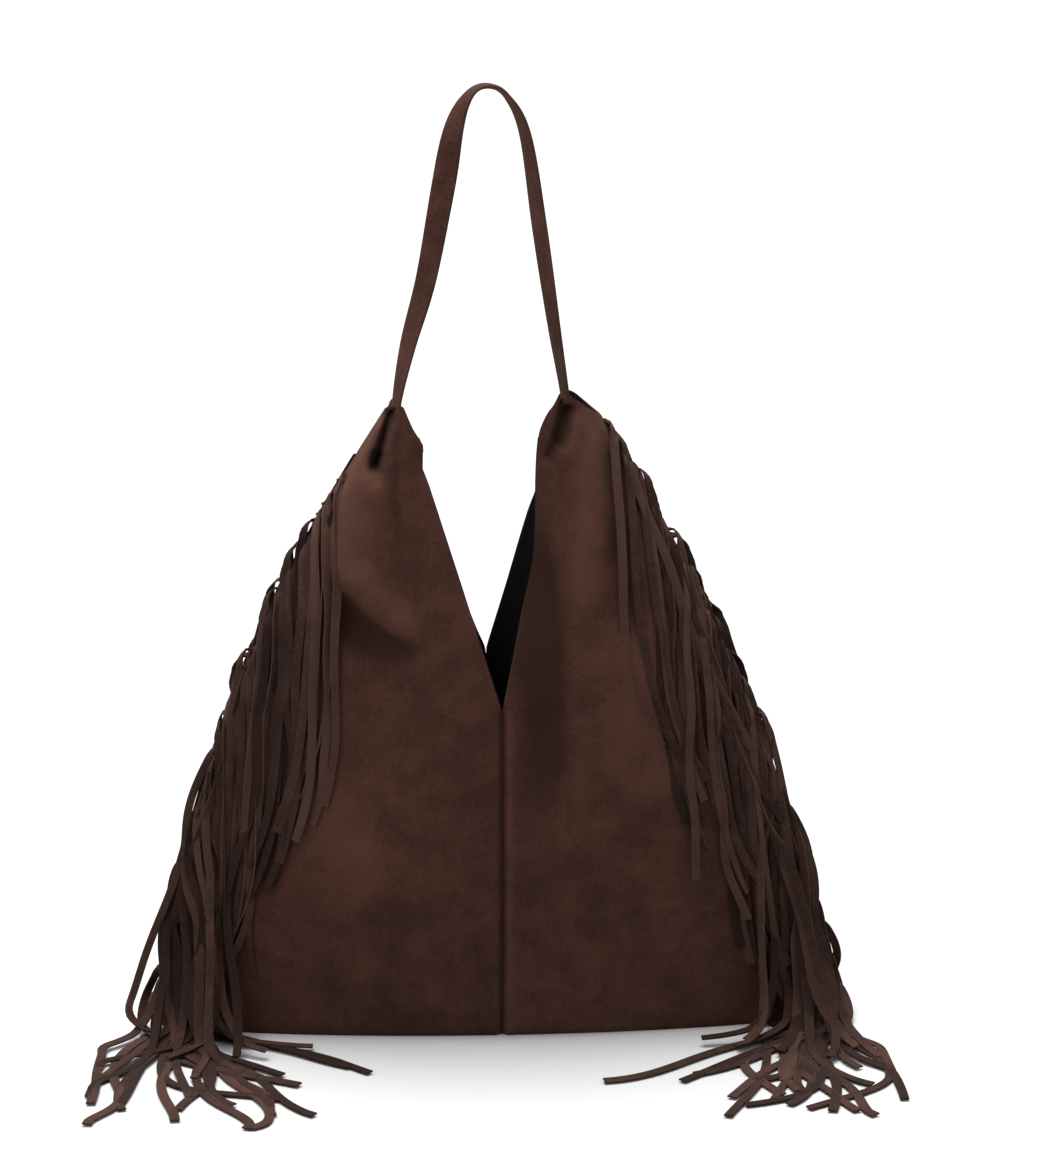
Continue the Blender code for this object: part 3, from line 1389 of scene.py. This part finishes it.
        def place(across: np.ndarray, run: np.ndarray) -> np.ndarray:
            i = np.round(run * rows).astype(int)
            aside = 2 * across - 1
            return (
                path[i]
                + wide[i] * (aside * half)[:, None]
                + flat[i] * (cup * (1 - aside**2))[:, None]
            )

        shade = rng.uniform(0.0, 1.0)
        for vert in sheet_grid(mesh, 2, rows, place):
            vert[tone_and_shade] = shade

    def header_band(self, mesh: bmesh.types.BMesh, tone_and_shade: bmesh.types.BMLayerItem) -> None:
        """Adds the uncut edge that the strips hang from, along the seam.

        Args:
            mesh: the mesh to add to.
            tone_and_shade: the layer that holds the tone.
        """

        def place(across: np.ndarray, run: np.ndarray) -> np.ndarray:
            z = self.bottom + (self.top - self.bottom) * run
            x = self.form.seam_x(self.side, z) + self.side.value * (across * 2 - 1) * self.header / 2
            return np.stack([x, np.zeros_like(x), z], axis=-1)

        for vert in sheet_grid(mesh, 2, 70, place):
            vert[tone_and_shade] = 0.3


# ---------------------------------------------------------------- the stage


@dataclass
class Studio:
    """The pale floor, soft light and the camera."""

    azimuth: float = -3.0
    elevation: float = 12.0
    distance: float = 2.5
    target: tuple[float, float, float] = (0.0248, 0.0, 0.343)
    view_height: float = 0.8715
    sensor: float = 36.0

    def build(self) -> None:
        """Builds the stage."""
        self.camera()
        self.floor()
        self.lights()

    def camera(self) -> None:
        """A long lens a little above the bag's middle."""
        data = bpy.data.cameras.new("camera")
        data.sensor_fit = "VERTICAL"
        data.sensor_height = self.sensor
        data.lens = self.sensor * self.distance / self.view_height
        made = bpy.data.objects.new("camera", data)
        a, e = math.radians(self.azimuth), math.radians(self.elevation)
        back = Vector((math.sin(a) * math.cos(e), -math.cos(a) * math.cos(e), math.sin(e)))
        made.location = Vector(self.target) + back * self.distance
        made.rotation_euler = back.to_track_quat("Z", "Y").to_euler()
        bpy.context.scene.collection.objects.link(made)
        bpy.context.scene.camera = made

    def floor(self) -> None:
        """A wide plane that runs far behind the bag."""
        mesh = bmesh.new()
        bmesh.ops.create_grid(mesh, x_segments=1, y_segments=1, size=30.0)
        piece = add_piece("floor", mesh, PaleFloor().make(), smooth=False)

    def lights(self) -> None:
        """A wide overhead light, a weak one from the front left, and a white surround."""
        scene = bpy.context.scene
        scene.view_settings.view_transform = "Standard"
        world = bpy.data.worlds.new("studio")
        world.use_nodes = True
        background = world.node_tree.nodes["Background"]
        background.inputs["Color"].default_value = (1.0, 1.0, 1.0, 1.0)
        background.inputs["Strength"].default_value = 1.03
        scene.world = world
        self.area_light("key", (-0.9, -1.7, 2.4), 0.7, 26.0)
        sun = bpy.data.lights.new("overhead", "SUN")
        sun.energy = 5.6
        sun.angle = math.radians(40)
        made = bpy.data.objects.new("overhead", sun)
        made.rotation_euler = (math.radians(-10), math.radians(-4), 0.0)
        scene.collection.objects.link(made)

    def area_light(
        self, name: str, place: tuple[float, float, float], size: float, power: float
    ) -> None:
        """Adds a square light that looks at the middle of the bag.

        Args:
            name: the light's name.
            place: where it stands.
            size: its width in metres.
            power: in watts.
        """
        data = bpy.data.lights.new(name, "AREA")
        data.shape = "SQUARE"
        data.size = size
        data.energy = power
        made = bpy.data.objects.new(name, data)
        made.location = place
        toward = Vector(self.target) - Vector(place)
        made.rotation_euler = toward.to_track_quat("-Z", "Y").to_euler()
        bpy.context.scene.collection.objects.link(made)


def bag_form() -> BagForm:
    """The bag's form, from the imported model's sizes.

    Returns:
        The form that every piece follows.
    """
    peaks = {
        Side.LEFT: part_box("front_left_panel")[1].z,
        Side.RIGHT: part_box("front_right_panel")[1].z,
    }
    left_peak, right_peak = peaks[Side.LEFT], peaks[Side.RIGHT]
    return BagForm(
        half_width=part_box("front_right_panel")[1].x,
        peak=peaks,
        seam_lean={Side.LEFT: (0.085, 0.61), Side.RIGHT: (0.19, 0.44)},
        mouth={
            (Face.FRONT, Side.LEFT): (
                (0.256, 0.34, 0.42, 0.438, 0.448, 0.462, left_peak),
                (0.0, -0.0266, -0.052, -0.0577, -0.0560, -0.0635, -0.0704),
            ),
            (Face.FRONT, Side.RIGHT): (
                (0.256, 0.317, 0.378, 0.43, 0.457, 0.472, right_peak),
                (0.0, 0.013, 0.0248, 0.0262, 0.0285, 0.0345, 0.0425),
            ),
            (Face.BACK, Side.LEFT): (
                (0.280, 0.30, 0.36, left_peak),
                (-0.0080, -0.0165, -0.0365, -0.0730),
            ),
            (Face.BACK, Side.RIGHT): (
                (0.280, 0.33, 0.390, 0.415, 0.457, right_peak),
                (-0.0080, 0.0060, 0.0225, 0.0305, 0.0350, 0.0455),
            ),
        },
        droop={Side.LEFT: 0.004, Side.RIGHT: 0.013},
        crown={Side.LEFT: 0.002, Side.RIGHT: 0.005},
        folds=FOLDS,
    )


# Each fold's route is in metres across and up; heights and widths are how it stands out.
FOLDS = {
    (Face.FRONT, Side.LEFT): (
        Fold(((-0.0785, 0.476), (-0.085, 0.455), (-0.0925, 0.431)), -13e-3, 0.003, 0.0034, 0.02, 0.1),
        Fold(((-0.0880, 0.447), (-0.0930, 0.429)), -9e-3, 0.0050, 0.0058),
        Fold(((-0.1020, 0.438), (-0.0960, 0.4180), (-0.0860, 0.425)), 3e-3, 0.0045, 0.0065),
        Fold(((-0.0850, 0.472), (-0.0960, 0.456), (-0.1060, 0.430)), 5e-3, 0.006, 0.006),
        Fold(((-0.1040, 0.445), (-0.114, 0.410), (-0.118, 0.365), (-0.112, 0.340)), 9e-3, 0.018, 0.007),
        Fold(((-0.1200, 0.343), (-0.108, 0.328), (-0.086, 0.310), (-0.060, 0.296)), -8e-3, 0.006, 0.020),
        Fold(((-0.1260, 0.336), (-0.110, 0.319), (-0.092, 0.307)), -6e-3, 0.005, 0.011),
        Fold(((-0.1180, 0.362), (-0.104, 0.344), (-0.084, 0.325), (-0.056, 0.310)), 7e-3, 0.016, 0.006),
        Fold(((-0.0750, 0.465), (-0.077, 0.420), (-0.074, 0.380)), -2.6e-3, 0.0035, 0.006),
        Fold(((-0.1500, 0.220), (-0.120, 0.150), (-0.080, 0.120)), 4e-3, 0.03, 0.03),
    ),
    (Face.FRONT, Side.RIGHT): (
        Fold(((0.0500, 0.480), (0.0465, 0.466), (0.0425, 0.450)), -12e-3, 0.0050, 0.0045, 0.02, 0.15),
        Fold(((0.0450, 0.455), (0.0390, 0.448), (0.0340, 0.438)), -6e-3, 0.004, 0.004),
        Fold(((0.0560, 0.478), (0.0560, 0.458), (0.0480, 0.438)), 4e-3, 0.006, 0.006),
        Fold(((0.0640, 0.478), (0.066, 0.440), (0.065, 0.380), (0.060, 0.310)), 6e-3, 0.011, 0.010),
        Fold(((0.0800, 0.455), (0.085, 0.410), (0.088, 0.350)), -5e-3, 0.009, 0.010),
        Fold(((0.0270, 0.405), (0.032, 0.320), (0.036, 0.250), (0.034, 0.170)), -9e-3, 0.010, 0.020),
        Fold(((0.0900, 0.330), (0.100, 0.250), (0.120, 0.170)), 5e-3, 0.03, 0.03),
    ),
    (Face.BACK, Side.LEFT): (
        Fold(((-0.078, 0.476), (-0.085, 0.450), (-0.092, 0.425)), -0.012, 0.004, 0.0045, 0.05, 0.2),
        Fold(((-0.060, 0.420), (-0.085, 0.350), (-0.095, 0.270)), 0.005, 0.018, 0.014),
        Fold(((-0.030, 0.260), (-0.070, 0.210), (-0.130, 0.190)), -0.005, 0.016, 0.022),
    ),
    (Face.BACK, Side.RIGHT): (
        Fold(((0.052, 0.480), (0.056, 0.455), (0.064, 0.425)), -0.012, 0.004, 0.0045, 0.05, 0.2),
        Fold(((0.040, 0.420), (0.060, 0.350), (0.090, 0.270)), 0.005, 0.016, 0.016),
        Fold(((0.020, 0.240), (0.080, 0.200), (0.150, 0.160)), -0.005, 0.020, 0.020),
    ),
}


def main() -> None:
    """Builds the bag, piece by piece, and the stage around it."""
    logging.basicConfig(level=logging.INFO, format="%(message)s")
    form = bag_form()
    body_suede = Suede(
        "body_suede",
        (0.020, 0.0085, 0.0058, 1.0),
        (0.052, 0.0225, 0.0155, 1.0),
        tone_and_shade_attribute="tone_and_shade",
    )
    strap_finish = Suede(
        "strap_suede", (0.024, 0.0105, 0.0075, 1.0), (0.072, 0.033, 0.0235, 1.0), mottle=0.2
    )
    strip_finish = Suede(
        "fringe_suede",
        (0.0120, 0.0062, 0.0049, 1.0),
        (0.0425, 0.0212, 0.0160, 1.0),
        mottle=0.2,
        tone_and_shade_attribute="tone_and_shade",
        tone_and_shade_weight=0.85,
    )
    SuedeBody(form, body_suede.make()).build()
    LOG.info("built the four panels")
    Lining(form, LiningCloth().make()).build()
    LOG.info("built the lining")
    ShoulderStrap(strap_finish.make()).build()
    LOG.info("built the strap")
    finish = strip_finish.make()
    Fringe(
        form,
        Side.LEFT,
        finish,
        top=0.441,
        sloped=0.10,
        seed=11,
        spread={Face.FRONT: (-12.0, 24.0), Face.BACK: (-14.0, 10.0)},
        hang=(-0.12, 0.2),
        beside=0.038,
    ).build()
    LOG.info("built the left fringe")
    Fringe(
        form,
        Side.RIGHT,
        finish,
        top=0.466,
        sloped=0.30,
        seed=23,
        spread={Face.FRONT: (-12.0, 20.0), Face.BACK: (-14.0, 10.0)},
        hang=(0.0, 0.35),
        beside=0.020,
    ).build()
    LOG.info("built the right fringe")
    Studio().build()


if __name__ == "__main__":
    main()
